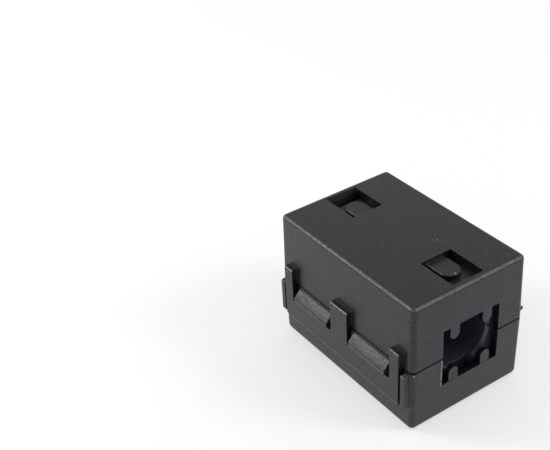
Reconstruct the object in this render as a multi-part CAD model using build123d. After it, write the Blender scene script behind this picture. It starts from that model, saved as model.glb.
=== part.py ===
# Clip-on ferrite bead for a round cable: a snap-shut plastic case around two ferrite half cores.
# Frame: millimetres, +X along the cable, -Y the latch side, +Y the hinge side, +Z up.
# The origin is the middle of the cable bore, on the parting plane, with the lid shut.

import os
from math import atan2, sin

from build123d import *

# Ferrite half cores
core_length = 28.6
core_width = 18.3
core_height = 9.5
bore_radius = 4.85
core_bevel = 0.4
land_gap = 0.04

# Keyway at each end of the bore's floor, and the lug of the case that holds the core by it
key_width = 5.0
key_inner_width = 3.5
key_length = 1.25
key_depth = 1.8
lug_width = 2.8
lug_end_play = 0.3
lug_under_play = 0.2
lug_top_drop = 0.3

# Room around the cores inside the case
core_end_room = 0.75
core_front_room = 1.0
core_rear_room = 0.3
tongue_room = 0.6

# Case walls
end_wall = 0.95
side_wall = 1.1
base_floor = 1.73
lid_roof = 1.26
parting_gap = 0.3
draft_angle = 1.0
corner_radius = 0.95
lid_edge_radius = 0.65
base_edge_radius = 1.1
rim_bevel = 0.1

# Cable notch in each end wall, with its grip fingers
notch_side_margin = 0.58
notch_floor_margin = 0.2
finger_slot = 1.4
finger_width = 1.8
finger_length = 2.35
finger_thickness = 0.8

# Snap latch on the lid
latch_gap = 0.15
latch_thickness = 0.75
latch_rise = 2.95
latch_end_gap = 0.4
bar_height = 3.75
bar_lead_in = 0.3
bar_top_bevel = 0.25
bar_edge_radius = 0.2
leg_top_bevel = 0.2
end_leg_width = 2.0
centre_leg_width = 4.1

# Catches, slide pad and guide ribs on the base
hook_drop = 2.55
hook_play = 0.25
hook_reach = 1.27
hook_land = 0.75
hook_nose_radius = 0.25
catch_inner_gap = 0.7
catch_outer_gap = 0.8
pad_top_drop = 0.45
pad_drop = 1.9
pad_reach = 0.12
rib_width = 1.6
rib_reach = 0.85
rib_top_drop = 0.45
rib_drop = 6.7
rib_edge_radius = 0.6
rib_lead_in = 0.25
rib_foot_bevel = 0.6

# Spring tongues in the lid's roof
window_length = 6.95
window_width = 5.85
window_end_margin = 1.2
tongue_length = 4.65
tongue_width = 3.45
tongue_sink = 0.7
tongue_thickness = 0.55
tongue_foot_setback = 0.8
tongue_foot_length = 1.4

# Living hinge: two straps, each folded on the hinge line
strap_width = 5.2
strap_inset = 1.2
strap_thickness = 0.4
hinge_setback = 0.92
hinge_rise = 0.4
fold_clearance = 0.06
base_leaf_drop = 0.65
lid_leaf_rise = 1.6

# Overrun for cuts, and how far a feature is sunk into the wall that carries it
overrun = 1.0
bite = 0.6

# Worked out from the sizes above
cavity_length = core_length + 2 * core_end_room
cavity_front = -(core_width / 2 + core_front_room)
cavity_rear = core_width / 2 + core_rear_room
case_length = cavity_length + 2 * end_wall
case_front = cavity_front - side_wall
case_rear = cavity_rear + side_wall
case_width = case_rear - case_front
case_middle = (case_rear + case_front) / 2
core_outer = land_gap / 2 + core_height
base_height = core_outer + base_floor
lid_height = core_outer + tongue_room + lid_roof
rim = parting_gap / 2
notch_half_width = bore_radius + notch_side_margin
notch_depth = bore_radius + notch_floor_margin
finger_offset = notch_half_width - finger_slot - finger_width / 2
latch_half_length = case_length / 2 - rib_width - latch_end_gap
latch_inner = case_front - latch_gap
latch_outer = latch_inner - latch_thickness
sill = -(hook_drop + hook_play)
bar_bottom = sill - bar_height
catch_inner = centre_leg_width / 2 + catch_inner_gap
catch_outer = latch_half_length - end_leg_width - catch_outer_gap
window_outer = case_length / 2 - window_end_margin
window_inner = window_outer - window_length
hinge_y = case_rear + hinge_setback
strap_middle = case_length / 2 - strap_inset - strap_width / 2
leaf_run = hinge_setback + bite
leaf_spread = atan2(lid_leaf_rise - hinge_rise, leaf_run) + atan2(hinge_rise + base_leaf_drop, leaf_run)
fold_radius = strap_thickness / 2 / sin(leaf_spread / 2)


def span_box(x0, x1, y0, y1, z0, z1):
    """A box between two corners."""
    box = Box(x1 - x0, y1 - y0, z1 - z0)
    return Pos((x0 + x1) / 2, (y0 + y1) / 2, (z0 + z1) / 2) * box


def along_x(points, x0, x1):
    """A prism along X, whose section is a closed outline of (y, z) points."""
    outline = make_face(Polyline(*[(x0, y, z) for y, z in points], close=True))
    return extrude(outline, x1 - x0, dir=(1, 0, 0))


def finger(height_sign, end, side):
    """One round-tipped grip finger, standing in the cable notch of an end wall."""
    inner = cavity_length / 2
    x0, x1 = sorted((end * inner, end * (inner + finger_thickness)))
    y = side * finger_offset
    tip = notch_depth - finger_length + finger_width / 2
    z0, z1 = sorted((height_sign * tip, height_sign * (notch_depth + bite)))
    stem = span_box(x0, x1, y - finger_width / 2, y + finger_width / 2, z0, z1)
    nose = Cylinder(finger_width / 2, finger_thickness, rotation=(0, 90, 0))
    return stem + Pos((x0 + x1) / 2, y, height_sign * tip) * nose


def core_lug(end):
    """A lug on an end wall, reaching into the core's keyway."""
    tip = core_length / 2 - key_length + lug_end_play
    x0, x1 = sorted((end * tip, end * (cavity_length / 2 + bite)))
    under = bore_radius + key_depth - lug_under_play
    return span_box(x0, x1, -lug_width / 2, lug_width / 2, notch_depth + lug_top_drop, under)


def half_shell(height, roof, edge_radius, height_sign):
    """A drafted tray with rounded edges, cable notches, lugs and fingers; height_sign -1 turns it over."""
    outline = RectangleRounded(case_length, case_width, corner_radius)
    shell = extrude(Pos(0, case_middle, rim) * outline, height - rim, taper=draft_angle)
    shell = fillet(shell.faces().sort_by(Axis.Z)[-1].edges(), edge_radius)
    shell = chamfer(shell.faces().sort_by(Axis.Z)[0].edges(), rim_bevel)
    half = cavity_length / 2
    cavity = span_box(-half, half, cavity_front, cavity_rear, -overrun, height - roof)
    reach = case_length / 2 + overrun
    notch = span_box(-reach, reach, -notch_half_width, notch_half_width, -overrun, notch_depth)
    shell = shell - cavity - notch
    for end in (-1, 1):
        shell += core_lug(end)
    if height_sign < 0:
        shell = mirror(shell, about=Plane.XY)
    for end in (-1, 1):
        for side in (-1, 1):
            shell += finger(height_sign, end, side)
    return shell


def keyway():
    """The cut at one end of a core's bore: it narrows inward and is open to the bore."""
    end = core_length / 2
    inner = end - key_length
    right_side = [(inner, key_inner_width / 2), (end, key_width / 2), (end + overrun, key_width / 2)]
    left_side = [(x, -y) for x, y in reversed(right_side)]
    plan = make_face(Polyline(*right_side, *left_side, close=True))
    return extrude(plan, bore_radius + key_depth, dir=(0, 0, 1))


def half_core(height_sign):
    """A ferrite block with half the bore along its land, bevelled and keyed at its ends."""
    block = Pos(0, 0, (land_gap + core_height) / 2) * Box(core_length, core_width, core_height)
    core = block - Cylinder(bore_radius, core_length + overrun, rotation=(0, 90, 0))
    ends = core.faces().filter_by(Axis.X)
    core = chamfer(ends.edges(), core_bevel)
    core = core - keyway() - mirror(keyway(), about=Plane.YZ)
    if height_sign < 0:
        core = mirror(core, about=Plane.XY)
    return core


def hinge_leaf(side, root_z):
    """Half a hinge strap: a flat strip from the rear wall to the hinge line."""
    root = Vector(side * strap_middle, case_rear - bite, root_z)
    fold = Vector(side * strap_middle, hinge_y, hinge_rise)
    run = fold - root
    middle = (root + fold) / 2
    strip = Box(strap_width, run.length, strap_thickness)
    return Plane(origin=middle, x_dir=(1, 0, 0), z_dir=run.cross(Vector(-1, 0, 0))) * strip


def hinge_round(side, radius, length):
    """A cylinder on the hinge line."""
    return Pos(side * strap_middle, hinge_y, hinge_rise) * Cylinder(radius, length, rotation=(0, 90, 0))


def catch(side):
    """A wedge that ramps out below the rim and hooks the latch bar with its underside."""
    x0, x1 = sorted((side * catch_inner, side * catch_outer))
    root = case_front + bite
    nose = case_front - hook_reach
    profile = [
        (root, -pad_top_drop),
        (case_front - pad_reach, -pad_top_drop),
        (nose, hook_land - hook_drop),
        (nose, -hook_drop),
        (root, -hook_drop),
    ]
    wedge = along_x(profile, x0, x1)
    nose_edge = wedge.edges().filter_by(Axis.X).group_by(Axis.Y)[0].sort_by(Axis.Z)[-1]
    return fillet(nose_edge, hook_nose_radius)


def guide_rib(side):
    """A corner rib that guides one end of the latch bar, bevelled at its top and its foot."""
    x0, x1 = sorted((side * (case_length / 2 - rib_width), side * case_length / 2))
    front = case_front - rib_reach
    rib = span_box(x0, x1, front, case_front + corner_radius, -rib_drop, -rib_top_drop)
    front_edges = rib.edges().filter_by(Axis.Z).group_by(Axis.Y)[0]
    rib = fillet(front_edges.sort_by(Axis.X)[-1 if side > 0 else 0], rib_edge_radius)
    top = -rib_top_drop
    top_cut = [(front, top), (front + rib_lead_in, top), (front, top - rib_lead_in)]
    foot = -rib_drop
    foot_cut = [(front, foot), (front + rib_foot_bevel, foot), (front, foot + rib_foot_bevel)]
    return rib - along_x(top_cut, x0, x1) - along_x(foot_cut, x0, x1)


def latch_leg(x, width):
    """One bevelled leg of the latch, with the bridge that carries it on the lid's front wall."""
    x0, x1 = x - width / 2, x + width / 2
    leg = span_box(x0, x1, latch_outer, latch_inner, sill - bite, latch_rise)
    leg = chamfer(leg.edges().filter_by(Axis.X).group_by(Axis.Z)[-1].sort_by(Axis.Y)[0], leg_top_bevel)
    return leg + span_box(x0, x1, latch_inner - bite, case_front + bite, rim, latch_rise)


def latch():
    """The snap latch: a bar under the sill, hung from the lid's front wall by three legs."""
    bar = span_box(-latch_half_length, latch_half_length, latch_outer, latch_inner, bar_bottom, sill)
    bar = chamfer(bar.edges().filter_by(Axis.X).group_by(Axis.Z)[-1].sort_by(Axis.Y)[0], bar_top_bevel)
    bar = chamfer(bar.edges().filter_by(Axis.X).group_by(Axis.Z)[0].sort_by(Axis.Y)[-1], bar_lead_in)
    bar = fillet(bar.edges().filter_by(Axis.X).group_by(Axis.Z)[0].sort_by(Axis.Y)[0], bar_edge_radius)
    end_leg = latch_half_length - end_leg_width / 2
    bar += latch_leg(0, centre_leg_width)
    for side in (-1, 1):
        bar += latch_leg(side * end_leg, end_leg_width)
    return bar


def tongue_window(side):
    """The opening in the roof around one spring tongue."""
    x0, x1 = sorted((side * window_inner, side * window_outer))
    half = window_width / 2
    return span_box(x0, x1, -half, half, lid_height - lid_roof - overrun, lid_height + overrun)


def tongue(side):
    """A sunk, round-nosed spring tongue, with a foot under its nose that presses on the upper core."""
    tip = window_inner + tongue_length
    root = window_inner - bite
    half = tongue_width / 2
    top = lid_height - tongue_sink
    underside = top - tongue_thickness
    foot = tip - tongue_foot_setback
    profile = [
        (root, top),
        (tip, top),
        (tip, underside),
        (foot, core_outer),
        (foot - tongue_foot_length, core_outer),
        (root, underside),
    ]
    outline = make_face(Polyline(*[(x, -half, z) for x, z in profile], close=True))
    blade = extrude(outline, tongue_width, dir=(0, 1, 0))
    plan = span_box(root, tip - half, -half, half, core_outer, top)
    plan += Pos(tip - half, 0, (core_outer + top) / 2) * Cylinder(half, top - core_outer)
    blade = blade & plan
    return blade if side > 0 else mirror(blade, about=Plane.YZ)


def base_shell():
    """The lower half of the case, with catches, slide pad, guide ribs and the fixed hinge leaves."""
    shell = half_shell(base_height, base_floor, base_edge_radius, -1)
    pad_face = case_front - pad_reach
    shell += span_box(-catch_inner, catch_inner, pad_face, case_front + bite, -pad_drop, -pad_top_drop)
    for side in (-1, 1):
        shell += catch(side)
        shell += guide_rib(side)
        shell += hinge_leaf(side, -base_leaf_drop)
        shell += hinge_round(side, fold_radius, strap_width)
    return shell


def lid_shell():
    """The upper half of the case, with the latch, the spring tongues and the moving hinge leaves."""
    shell = half_shell(lid_height, lid_roof, lid_edge_radius, 1)
    shell += latch()
    for side in (-1, 1):
        shell -= tongue_window(side)
        shell += tongue(side)
        shell += hinge_leaf(side, lid_leaf_rise)
        shell -= hinge_round(side, fold_radius + fold_clearance, strap_width + overrun)
    return shell


os.makedirs("parts", exist_ok=True)
export_step(base_shell(), "parts/base_shell.step")
export_step(lid_shell(), "parts/lid_shell.step")
export_step(half_core(-1), "parts/lower_core.step")
export_step(half_core(1), "parts/upper_core.step")
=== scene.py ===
# Looks of a clip-on ferrite bead: the finish of its case and cores, a pale floor, soft light and a camera.
import math

import bmesh
import bpy
from mathutils import Matrix, Vector


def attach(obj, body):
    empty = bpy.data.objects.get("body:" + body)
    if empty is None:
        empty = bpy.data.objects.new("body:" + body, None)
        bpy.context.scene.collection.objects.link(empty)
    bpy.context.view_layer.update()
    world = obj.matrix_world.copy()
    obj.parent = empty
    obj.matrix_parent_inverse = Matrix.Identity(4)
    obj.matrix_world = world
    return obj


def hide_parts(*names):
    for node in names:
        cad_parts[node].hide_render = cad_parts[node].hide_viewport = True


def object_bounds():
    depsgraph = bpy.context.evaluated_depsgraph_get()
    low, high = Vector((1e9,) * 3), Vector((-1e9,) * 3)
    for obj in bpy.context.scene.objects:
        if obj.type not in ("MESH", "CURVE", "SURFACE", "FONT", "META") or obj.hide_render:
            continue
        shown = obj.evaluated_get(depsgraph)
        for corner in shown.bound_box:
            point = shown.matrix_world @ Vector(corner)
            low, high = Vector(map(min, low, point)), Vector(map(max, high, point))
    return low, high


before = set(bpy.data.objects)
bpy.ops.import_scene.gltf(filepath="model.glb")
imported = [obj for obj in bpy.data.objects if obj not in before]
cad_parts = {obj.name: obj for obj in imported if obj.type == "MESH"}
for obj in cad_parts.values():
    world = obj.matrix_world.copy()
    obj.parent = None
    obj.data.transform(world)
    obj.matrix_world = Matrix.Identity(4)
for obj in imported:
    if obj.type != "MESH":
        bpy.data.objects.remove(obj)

cad_low, cad_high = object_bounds()
MM = 0.001

# Camera, in metres and degrees: it stands at the photograph's place and looks along the picture's middle
CAMERA_PLACE = (0.10136, -0.0866, 0.10107)
CAMERA_AZIMUTH = 57.61
CAMERA_ELEVATION = 33.32
CAMERA_ROLL = -3.86
CAMERA_LENS = 69.17
CAMERA_SENSOR = 36.0
CAMERA_NEAR = 0.005

# Light: a soft box left of the camera, one behind the object on its right, and a sky white at the horizon
LIGHT_DISTANCE = 0.5
SOFT_BOXES = {
    "left_box": {"azimuth": -45.0, "elevation": 31.0, "size": 0.14, "power": 0.85},
    "right_box": {"azimuth": 130.0, "elevation": 40.0, "size": 0.14, "power": 0.65},
}
SKY_HORIZON = (1.0, 1.0, 1.0)
SKY_ABOVE = (0.735, 0.70, 0.65)
SKY_FADE = 0.35

# Floor: white paper, and the share of even white in what is seen of it
FLOOR_COLOUR = (0.945, 0.965, 0.995)
FLOOR_ROUGHNESS = 0.9
FLOOR_SIZE = 4.0
FLOOR_WHITE = 0.5

# Noise values between which most of a noise lies
NOISE_SPAN = (0.3, 0.7)

# Edges of every piece look a little rounded
EDGE_SOFTNESS = 0.12 * MM
EDGE_SAMPLES = 6

# Case plastic: linear colours, and a grain whose pits and peaks differ in roughness and shine
PLASTIC_DARK = (0.0045, 0.0036, 0.0062)
PLASTIC_PALE = (0.0068, 0.0056, 0.0090)
PLASTIC_SCUFF = (0.012, 0.0125, 0.012)
# Pale grey of the painted highlights and painted light on the case
PAINTED_LIGHT_GREY = (0.35, 0.35, 0.34)
PLASTIC_TINT = (0.99, 0.95, 1.0)
PLASTIC_ROUGHNESS = (0.28, 0.38)
PLASTIC_SHINE = (0.22, 0.72)
SHINE_SPAN = (0.25, 0.75)
CLOUD_SIZE = 6.0 * MM
GRAIN_SIZE = 0.22 * MM
GRAIN_DEPTH = 0.03 * MM

# Rubbed top edges of the lid: a band of height, outside an inner rectangle, rubbed smoother and dented, with
# pale glints painted in as a painted highlight
EDGE_BAND = (10.97 * MM, 11.36 * MM)
EDGE_INNER = ((-15.05 * MM, -10.35 * MM), (15.05 * MM, 9.65 * MM))
EDGE_OUTER = ((-1.0, -1.0), (1.0, 1.0))
RUB_ROUGHNESS = 0.33
RUB_SHINE = 0.55
# Share of pale grey painted into the edge band as a painted highlight
GLINT_PAINT = 0.24
DENT_SIZE = 0.36 * MM
DENT_DEPTH = 0.075 * MM
GLINT_SIZE = 0.24 * MM
GLINT_SPAN = (0.42, 0.66)
GLINT_STRENGTH = (0.12, 1.0)

# Smooth place of the base, as a box: the catches and the slide pad between them, with scuffs and dark dashes
CATCHES = ((-11.3 * MM, -12.6 * MM, -2.6 * MM), (11.3 * MM, -11.3 * MM, -0.4 * MM))
SCUFF_SIZE = 0.24 * MM
SCUFF_STRETCH = (6.0, 1.0, 1.0)
SCUFF_SPAN = (0.38, 0.62)
SCUFF_ROUGHNESS = (0.36, 0.48)
SCUFF_DEPTH = 0.015 * MM
DASH_SIZE = 0.4 * MM
DASH_STRETCH = (2.2, 1.0, 1.0)
DASH_SPAN = (0.62, 0.68)
DASH_SHINE = 0.25

# Places of the case painted pale, in millimetres: two corners of a box, and how strong the paint is; the
# strongest are broken into speckle. All are painted light: painted highlights on edges, the catches' noses
# and the right catch, and a lit wall in the left window
SPECKLE_ABOVE = 0.3
SPECKLE_SIZE = 0.35 * MM
SPECKLE_SPAN = (0.38, 0.6)
SPECKLE_STRENGTH = (0.1, 1.0)
LID_PAINTED_LIGHT = (
    # painted highlight along the front edges of the legs' tops
    ((-14.1, -12.12, 2.8), (14.1, -12.0, 2.92), 0.5),
    # painted highlight along the latch bar's bottom edge
    ((-14.1, -12.3, -6.6), (14.1, -12.0, -6.36), 0.8),
    # painted highlights along the tongues' front edges
    ((-13.0, -1.8, 10.5), (13.0, -1.62, 10.75), 0.6),
    # painted light on the end wall of the left window
    ((-15.2, -3.0, 9.0), (-14.2, 3.0, 11.3), 0.07),
)
BASE_PAINTED_LIGHT = (
    # painted highlight along the lower left edge of the end notch
    ((15.0, -5.74, -5.15), (16.1, -5.45, -0.2), 0.5),
    # painted highlight on the catches' noses
    ((-11.3, -12.6, -2.6), (11.3, -12.4, -2.0), 0.09),
    # painted light making the right catch paler than the left
    ((0.0, -12.6, -2.6), (11.3, -11.3, -0.4), 0.02),
)

# Specks, in millimetres: the place, the radius and how strong its pale paint is; less than nothing is a dull
# dark pit. The pale specks at the tongue's tip and the ribs' tops are painted highlights
PIT_SHINE = 0.1
LID_SPECKS = (
    ((4.89, 2.97, 11.38), 0.15, 0.8),
    # painted highlight on the tongue's tip
    ((12.1, 0.0, 10.68), 0.2, 0.6),
    ((14.98, -11.1, 9.13), 0.22, -1.0),
)
BASE_SPECKS = (
    # painted highlights at the tops of the base's ribs
    ((15.9, -10.75, -0.45), 0.22, 0.6),
    ((14.6, -12.05, -0.45), 0.22, 0.5),
)

# Ferrite: linear colours, sintered or ground; faces within LAND_DEPTH of the parting plane are ground
FERRITE_DARK = (0.022, 0.022, 0.038)
FERRITE_PALE = (0.044, 0.044, 0.062)
FERRITE_LAND = (0.22, 0.22, 0.217)
FERRITE_CLOUD_SIZE = 4.0 * MM
FERRITE_GRAIN_SIZE = 0.2 * MM
FERRITE_GRAIN_DEPTH = 0.01 * MM
STROKE_SIZE = 0.16 * MM
STROKE_STRETCH = (14.0, 1.0, 1.0)
STROKE_SPAN = (0.35, 0.65)
SINTERED_ROUGHNESS = (0.36, 0.46)
SINTERED_INDEX = 1.55
GROUND_ROUGHNESS = (0.3, 0.5)
GROUND_INDEX = 2.6
LAND_DEPTH = 0.06 * MM

# Guide ribs of the base: the solid has them flush with the ends, but the real ones stop short of the corners.
# The cut keeps to the corner's drafted round, a hair inside it, and runs out of the wall all around.
# Each level of the cut has a height, and how many hairs it stands out of the round there
RIB_SIDE = 15.25 * MM
CORNER_CENTRE = (15.05 * MM, -10.3 * MM)
CORNER_RADIUS = 0.95 * MM
CORNER_HAIR = 0.001 * MM
CORNER_STEPS = 14
WALL_RIM = -0.15 * MM
WALL_DRAFT = math.radians(1.0)
RIB_CUT_LEVELS = ((-7.0 * MM, 2.0), (-6.5 * MM, -1.0), (-0.6 * MM, -1.0), (-0.3 * MM, 2.0))
RIB_CUT_REACH = (17.0 * MM, -13.0 * MM, -9.8 * MM)
RIB_CUT_RUN_OUT = 3.0

# The cut shell's mesh: what counts as one point and as one flat face, and how it is shaded
WELD = 0.001 * MM
FLAT_ANGLE = math.radians(0.3)
SMOOTH_ANGLE = math.radians(30.0)
LARGE_FACES_FIRST = 100


class Tree:
    """A material's node tree, with short calls for the nodes used here."""

    def __init__(self, name):
        self.material = bpy.data.materials.new(name)
        self.material.use_nodes = True
        self.nodes = self.material.node_tree.nodes
        self.links = self.material.node_tree.links
        self.shader = self.nodes["Principled BSDF"]
        self.place = self.add("ShaderNodeTexCoord").outputs["Object"]

    def add(self, kind, **settings):
        """A new node with its settings."""
        node = self.nodes.new(kind)
        for key, value in settings.items():
            setattr(node, key, value)
        return node

    def put(self, socket, value):
        """Links a socket to another, or sets its value."""
        if isinstance(value, bpy.types.NodeSocket):
            self.links.new(value, socket)
        elif value is not None:
            socket.default_value = (*value, 1.0) if socket.type == "RGBA" else value

    def feed(self, node, **inputs):
        """Fills a node's inputs by name, with _ for spaces."""
        for key, value in inputs.items():
            self.put(node.inputs[key.replace("_", " ")], value)
        return node

    def noise(self, size, detail=2.0, roughness=0.5, stretch=None):
        """Noise with features of a size in metres; stretch lengthens them along each axis."""
        place = self.place
        if stretch:
            shrink = tuple(1.0 / s for s in stretch)
            mapping = self.feed(self.add("ShaderNodeMapping"), Vector=place, Scale=shrink)
            place = mapping.outputs["Vector"]
        node = self.add("ShaderNodeTexNoise")
        self.feed(node, Vector=place, Scale=1.0 / size, Detail=detail, Roughness=roughness)
        return node.outputs["Fac"]

    def spread(self, value, span, result=(0.0, 1.0)):
        """Maps a span of a value to the two ends of a result, clamped."""
        node = self.add("ShaderNodeMapRange")
        self.feed(node, Value=value, From_Min=span[0], From_Max=span[1], To_Min=result[0], To_Max=result[1])
        return node.outputs["Result"]

    def calculate(self, operation, first, second, third=None):
        """A number worked out from two or three."""
        node = self.add("ShaderNodeMath", operation=operation)
        for socket, value in zip(node.inputs, (first, second, third)):
            self.put(socket, value)
        return node.outputs["Value"]

    def times(self, first, second):
        """The product of two numbers."""
        return self.calculate("MULTIPLY", first, second)

    def axes(self):
        """The place's three coordinates in the part's frame."""
        return self.feed(self.add("ShaderNodeSeparateXYZ"), Vector=self.place).outputs

    def box_mask(self, low, high):
        """1 inside a box of the part's frame, and 0 outside."""
        axes = self.axes()
        mask = None
        for axis, a, b in zip("XYZ", low, high):
            inside = self.calculate("COMPARE", axes[axis], (a + b) / 2, (b - a) / 2)
            mask = inside if mask is None else self.times(mask, inside)
        return mask

    def spot_mask(self, centre, radius):
        """1 at a point of the part's frame, falling to 0 at a radius around it."""
        node = self.add("ShaderNodeVectorMath", operation="DISTANCE")
        self.put(node.inputs[0], self.place)
        self.put(node.inputs[1], centre)
        return self.spread(node.outputs["Value"], (radius / 2, radius), (1.0, 0.0))

    def blend(self, factor, first, second):
        """A colour between two colours."""
        node = self.add("ShaderNodeMix", data_type="RGBA")
        self.put(node.inputs["Factor"], factor)
        self.put(node.inputs[6], first)
        self.put(node.inputs[7], second)
        return node.outputs[2]

    def lerp(self, factor, first, second):
        """A number between two numbers."""
        node = self.add("ShaderNodeMix", data_type="FLOAT")
        self.put(node.inputs["Factor"], factor)
        self.put(node.inputs[2], first)
        self.put(node.inputs[3], second)
        return node.outputs[0]

    def soft_bump(self, height):
        """A normal that rounds the edges and is bent by a height in metres."""
        edges = self.feed(self.add("ShaderNodeBevel", samples=EDGE_SAMPLES), Radius=EDGE_SOFTNESS)
        node = self.add("ShaderNodeBump")
        self.feed(node, Height=height, Distance=1.0, Strength=1.0, Normal=edges.outputs["Normal"])
        return node.outputs["Normal"]


def moulded_look(tree):
    """The plain look of the case: near black, cloudy, with a fine grain."""
    grain = tree.noise(GRAIN_SIZE, detail=3.0, roughness=0.6)
    clouds = tree.noise(CLOUD_SIZE, detail=3.0)
    return {
        "colour": tree.blend(clouds, PLASTIC_DARK, PLASTIC_PALE),
        "roughness": tree.spread(grain, NOISE_SPAN, PLASTIC_ROUGHNESS),
        "shine": tree.spread(grain, SHINE_SPAN, PLASTIC_SHINE),
        "height": tree.times(grain, GRAIN_DEPTH),
    }


def rub_and_highlight_edges(tree, look):
    """Rubs and dents the lid's rounded top edges, and paints pale glints on them as a painted highlight."""
    band, inside = (
        tree.box_mask((*low, EDGE_BAND[0]), (*high, EDGE_BAND[1])) for low, high in (EDGE_OUTER, EDGE_INNER)
    )
    rubbed_and_highlit = tree.calculate("SUBTRACT", band, inside)
    glints = tree.spread(tree.noise(GLINT_SIZE, detail=3.0, roughness=0.7), GLINT_SPAN, GLINT_STRENGTH)
    # Painted highlight: speckled pale glints along the edge band
    painted_light = tree.times(tree.times(rubbed_and_highlit, glints), GLINT_PAINT)
    dents = tree.noise(DENT_SIZE, detail=3.0, roughness=0.6)
    look["colour"] = tree.blend(painted_light, look["colour"], PAINTED_LIGHT_GREY)
    look["roughness"] = tree.lerp(rubbed_and_highlit, look["roughness"], RUB_ROUGHNESS)
    look["shine"] = tree.lerp(rubbed_and_highlit, look["shine"], RUB_SHINE)
    look["height"] = tree.lerp(rubbed_and_highlit, look["height"], tree.times(dents, DENT_DEPTH))


def scuff(tree, look, box):
    """Smooths the plastic in a box, and scuffs it lengthwise with a few dark dashes."""
    mask = tree.box_mask(*box)
    streaks = tree.noise(SCUFF_SIZE, detail=4.0, roughness=0.7, stretch=SCUFF_STRETCH)
    scuffs = tree.blend(tree.spread(streaks, SCUFF_SPAN), PLASTIC_PALE, PLASTIC_SCUFF)
    dashes = tree.spread(tree.noise(DASH_SIZE, stretch=DASH_STRETCH), DASH_SPAN)
    dulled = tree.spread(streaks, NOISE_SPAN, SCUFF_ROUGHNESS)
    look["colour"] = tree.blend(mask, look["colour"], tree.blend(dashes, scuffs, PLASTIC_DARK))
    look["roughness"] = tree.lerp(mask, look["roughness"], dulled)
    look["shine"] = tree.lerp(tree.times(mask, dashes), look["shine"], DASH_SHINE)
    look["height"] = tree.lerp(mask, look["height"], tree.times(streaks, SCUFF_DEPTH))


def paint_light_places(tree, look, places):
    """Paints pale light into the plastic in boxes, broken into speckle where it is strong: painted highlights
    and painted light.
    """
    speckle = tree.spread(tree.noise(SPECKLE_SIZE, detail=3.0, roughness=0.7), SPECKLE_SPAN, SPECKLE_STRENGTH)
    for low, high, strength in places:
        mask = tree.box_mask([c * MM for c in low], [c * MM for c in high])
        painted_light = tree.times(mask, speckle) if strength > SPECKLE_ABOVE else mask
        # painted light: the box turns toward the pale grey
        look["colour"] = tree.blend(tree.times(painted_light, strength), look["colour"], PAINTED_LIGHT_GREY)


def add_specks(tree, look, specks):
    """Adds small pale specks, painted highlights among them, and dull pits."""
    for centre, radius, strength in specks:
        spot = tree.spot_mask([c * MM for c in centre], radius * MM)
        if strength > 0:
            # pale paint; most specks are painted highlights
            look["colour"] = tree.blend(tree.times(spot, strength), look["colour"], PAINTED_LIGHT_GREY)
        else:
            look["shine"] = tree.lerp(spot, look["shine"], PIT_SHINE)


def case_plastic(name, painted_places, specks, smooth=None, edges=False):
    """Black moulded nylon, rubbed on the lid's edges with painted highlight glints there, smooth in one box,
    and with painted highlights and painted light in pale boxes and specks.
    """
    tree = Tree(name)
    look = moulded_look(tree)
    if edges:
        rub_and_highlight_edges(tree, look)
    if smooth:
        scuff(tree, look, smooth)
    paint_light_places(tree, look, painted_places)
    add_specks(tree, look, specks)
    tree.feed(tree.shader, Base_Color=look["colour"], Roughness=look["roughness"],
              Specular_IOR_Level=look["shine"], Specular_Tint=PLASTIC_TINT,
              Normal=tree.soft_bump(look["height"]))
    return tree.material


def ferrite(name):
    """Sintered ferrite: near black and half dull in the bore, with paler lands ground lengthwise."""
    tree = Tree(name)
    grain = tree.noise(FERRITE_GRAIN_SIZE, detail=4.0, roughness=0.7)
    clouds = tree.noise(FERRITE_CLOUD_SIZE)
    strokes = tree.noise(STROKE_SIZE, detail=3.0, roughness=0.6, stretch=STROKE_STRETCH)
    land = tree.calculate("COMPARE", tree.axes()["Z"], 0.0, LAND_DEPTH)
    sintered = tree.blend(tree.times(clouds, grain), FERRITE_DARK, FERRITE_PALE)
    ground = tree.blend(tree.spread(strokes, STROKE_SPAN), FERRITE_PALE, FERRITE_LAND)
    sintered_roughness = tree.spread(grain, NOISE_SPAN, SINTERED_ROUGHNESS)
    ground_roughness = tree.spread(strokes, NOISE_SPAN, GROUND_ROUGHNESS)
    height = tree.times(tree.lerp(land, grain, strokes), FERRITE_GRAIN_DEPTH)
    tree.feed(tree.shader, Base_Color=tree.blend(land, sintered, ground),
              Roughness=tree.lerp(land, sintered_roughness, ground_roughness),
              IOR=tree.lerp(land, SINTERED_INDEX, GROUND_INDEX), Normal=tree.soft_bump(height))
    return tree.material


def dress(piece, material):
    """Gives a piece its finish."""
    piece.data.materials.clear()
    piece.data.materials.append(material)


def new_piece(name, form):
    """An object in the part's frame, made from a bmesh."""
    mesh = bpy.data.meshes.new(name)
    form.to_mesh(mesh)
    form.free()
    piece = bpy.data.objects.new(name, mesh)
    bpy.context.scene.collection.objects.link(piece)
    return piece


def corner_outline(z, hairs):
    """Points around what lies outside a rounded corner of the base at a height, so many hairs from it."""
    radius = CORNER_RADIUS - (WALL_RIM - z) * math.tan(WALL_DRAFT) + hairs * CORNER_HAIR
    x, y = CORNER_CENTRE
    far, front, back = RIB_CUT_REACH
    first = math.asin((RIB_SIDE - x) / radius)
    turns = [first + (math.pi / 2 - first) * step / CORNER_STEPS for step in range(CORNER_STEPS + 1)]
    arc = [(x + radius * math.sin(turn), y - radius * math.cos(turn)) for turn in turns]
    run_out = (x + radius + RIB_CUT_RUN_OUT * CORNER_HAIR, back)
    return [(RIB_SIDE, front), *arc, run_out, (far, back), (far, front)]


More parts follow.
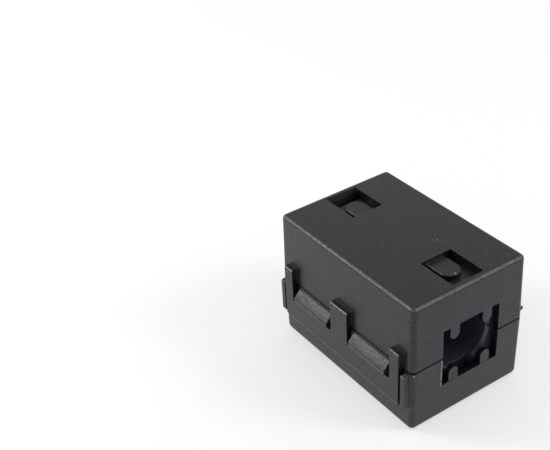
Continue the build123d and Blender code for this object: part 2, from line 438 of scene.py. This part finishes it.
def rib_cutter(side):
    """The block to take off one guide rib; side is -1 or 1."""
    form = bmesh.new()
    rings = []
    for z, hairs in RIB_CUT_LEVELS:
        rings.append([form.verts.new((side * x, y, z)) for x, y in corner_outline(z, hairs)])
    form.faces.new(rings[0])
    form.faces.new(rings[-1])
    for low, high in zip(rings, rings[1:]):
        for here in range(len(low)):
            form.faces.new((low[here - 1], low[here], high[here], high[here - 1]))
    bmesh.ops.recalc_face_normals(form, faces=form.faces)
    return new_piece("rib_cutter", form)


def settle(piece):
    """Makes what a piece's modifiers do part of its mesh."""
    shaped = piece.evaluated_get(bpy.context.evaluated_depsgraph_get())
    piece.data = bpy.data.meshes.new_from_object(shaped)
    piece.modifiers.clear()


def trimmed_base():
    """The base shell with its guide ribs cut back, standing for the solid."""
    form = bmesh.new()
    form.from_mesh(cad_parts["base_shell"].data)
    bmesh.ops.remove_doubles(form, verts=form.verts, dist=WELD)
    bmesh.ops.dissolve_limit(form, angle_limit=FLAT_ANGLE, verts=form.verts, edges=form.edges)
    piece = new_piece("base_case", form)
    for side in (-1, 1):
        cutter = rib_cutter(side)
        piece.modifiers.new("rib_cut", "BOOLEAN").object = cutter
        settle(piece)
        bpy.data.objects.remove(cutter)
    piece.data.shade_smooth()
    piece.data.set_sharp_from_angle(angle=SMOOTH_ANGLE)
    shading = piece.modifiers.new("flat_walls", "WEIGHTED_NORMAL")
    shading.weight = LARGE_FACES_FIRST
    shading.keep_sharp = True
    settle(piece)
    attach(piece, "base")
    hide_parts("base_shell")
    return piece


def direction(azimuth, elevation):
    """Unit vector from the object towards a place; azimuth 0 is the latch side, 90 is +X."""
    a, e = math.radians(azimuth), math.radians(elevation)
    return Vector((math.sin(a) * math.cos(e), -math.cos(a) * math.cos(e), math.sin(e)))


def add_floor():
    """White paper that keeps the object's shadow; what is seen of it, or mirrored, is part even white."""
    bpy.ops.mesh.primitive_plane_add(size=FLOOR_SIZE, location=(0, 0, cad_low.z))
    floor = bpy.context.object
    floor.name = "floor"
    tree = Tree("floor_paper")
    tree.feed(tree.shader, Base_Color=FLOOR_COLOUR, Roughness=FLOOR_ROUGHNESS, Specular_IOR_Level=0.0)
    rays = tree.add("ShaderNodeLightPath").outputs
    seen = tree.calculate("ADD", rays["Is Camera Ray"], rays["Is Glossy Ray"])
    seen = tree.calculate("ADD", seen, rays["Is Transmission Ray"])
    white = tree.add("ShaderNodeEmission")
    mix = tree.add("ShaderNodeMixShader")
    tree.put(mix.inputs["Fac"], tree.spread(seen, (0.0, 1.0), (0.0, FLOOR_WHITE)))
    tree.put(mix.inputs[1], tree.shader.outputs["BSDF"])
    tree.put(mix.inputs[2], white.outputs["Emission"])
    tree.put(tree.nodes["Material Output"].inputs["Surface"], mix.outputs["Shader"])
    dress(floor, tree.material)


def add_soft_boxes():
    """Square lamps that face the object from a distance."""
    for name, box in SOFT_BOXES.items():
        lamp = bpy.data.lights.new(name, "AREA")
        lamp.shape = "SQUARE"
        lamp.size = box["size"]
        lamp.energy = box["power"]
        holder = bpy.data.objects.new(name, lamp)
        towards = direction(box["azimuth"], box["elevation"])
        holder.location = towards * LIGHT_DISTANCE
        holder.rotation_euler = towards.to_track_quat("Z", "Y").to_euler()
        bpy.context.scene.collection.objects.link(holder)


def add_sky():
    """A sky that is white at the horizon and a little dimmer and warmer above."""
    world = bpy.data.worlds.new("sky")
    world.use_nodes = True
    nodes, links = world.node_tree.nodes, world.node_tree.links
    axes = nodes.new("ShaderNodeSeparateXYZ")
    links.new(nodes.new("ShaderNodeTexCoord").outputs["Generated"], axes.inputs["Vector"])
    fade = nodes.new("ShaderNodeMapRange")
    links.new(axes.outputs["Z"], fade.inputs["Value"])
    fade.inputs["From Max"].default_value = SKY_FADE
    tint = nodes.new("ShaderNodeMix")
    tint.data_type = "RGBA"
    links.new(fade.outputs["Result"], tint.inputs["Factor"])
    tint.inputs[6].default_value = (*SKY_HORIZON, 1.0)
    tint.inputs[7].default_value = (*SKY_ABOVE, 1.0)
    links.new(tint.outputs[2], nodes["Background"].inputs["Color"])
    bpy.context.scene.world = world


def add_camera():
    """The photograph's camera, with its roll."""
    data = bpy.data.cameras.new("camera")
    data.lens = CAMERA_LENS
    data.sensor_width = CAMERA_SENSOR
    data.clip_start = CAMERA_NEAR
    camera = bpy.data.objects.new("camera", data)
    back = direction(CAMERA_AZIMUTH, CAMERA_ELEVATION)
    level_right = Vector((0, 0, 1)).cross(back).normalized()
    level_up = back.cross(level_right)
    roll = math.radians(CAMERA_ROLL)
    right = level_right * math.cos(roll) + level_up * math.sin(roll)
    up = back.cross(right)
    turn = Matrix((right, up, back)).transposed().to_4x4()
    camera.matrix_world = Matrix.Translation(CAMERA_PLACE) @ turn
    bpy.context.scene.collection.objects.link(camera)
    bpy.context.scene.camera = camera


bpy.context.scene.view_settings.view_transform = "Standard"
dress(trimmed_base(), case_plastic("base_plastic", BASE_PAINTED_LIGHT, BASE_SPECKS, CATCHES))
dress(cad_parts["lid_shell"], case_plastic("lid_plastic", LID_PAINTED_LIGHT, LID_SPECKS, edges=True))
dress(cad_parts["lower_core"], ferrite("lower_ferrite"))
dress(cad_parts["upper_core"], ferrite("upper_ferrite"))
add_floor()
add_soft_boxes()
add_sky()
add_camera()
